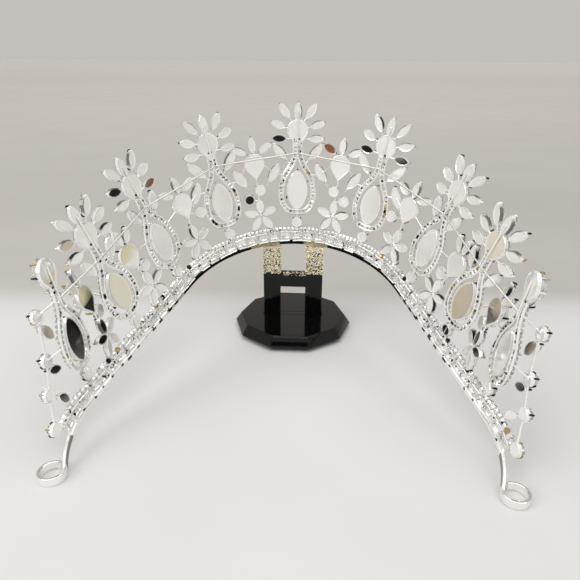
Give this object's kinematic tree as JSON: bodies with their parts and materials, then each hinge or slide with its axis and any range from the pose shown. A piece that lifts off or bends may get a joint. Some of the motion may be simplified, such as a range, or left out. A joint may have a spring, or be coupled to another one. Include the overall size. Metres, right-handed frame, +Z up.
{
  "type": "pageant crown on a display stand",
  "caption": "Open-backed rhinestone pageant crown with leaf, pear and oval stones in silver metal, leaning on a small black stand.",
  "frame": {"origin": "on the table, below the middle of the stand's base", "axes": "+Z up, +Y towards the crown's front, so the open back with its two loops faces -Y; +X to the right of someone who looks into the open back"},
  "size_m": [0.1426, 0.1245, 0.0935],
  "materials": {
    "silver_metal": "bright silver plate",
    "crystal": "clear cut glass",
    "black_acrylic": "polished black, with gold glitter on the prongs"
  },
  "bodies": {
    "root": {"crown_frame": "silver_metal", "navette_stone_1": "crystal", "navette_stone_2": "crystal", "navette_stone_3": "crystal", "navette_stone_4": "crystal", "navette_stone_5": "crystal", "navette_stone_6": "crystal", "navette_stone_7": "crystal", "navette_stone_8": "crystal", "navette_stone_9": "crystal", "spray_pear_stone_1": "crystal", "spray_pear_stone_2": "crystal", "spray_pear_stone_3": "crystal", "spray_pear_stone_4": "crystal", "spray_pear_stone_5": "crystal", "spray_pear_stone_6": "crystal", "spray_pear_stone_7": "crystal", "spray_pear_stone_8": "crystal", "spray_pear_stone_9": "crystal", "mid_pear_stone_1": "crystal", "mid_pear_stone_2": "crystal", "mid_pear_stone_3": "crystal", "mid_pear_stone_4": "crystal", "mid_pear_stone_5": "crystal", "mid_pear_stone_6": "crystal", "mid_pear_stone_7": "crystal", "mid_pear_stone_8": "crystal", "spray_leaf_stones": "crystal", "mid_leaf_stones": "crystal", "flower_stones": "crystal", "round_stones": "crystal", "stand_plate": "black_acrylic", "stand_base": "black_acrylic"}
  },
  "joints": []
}
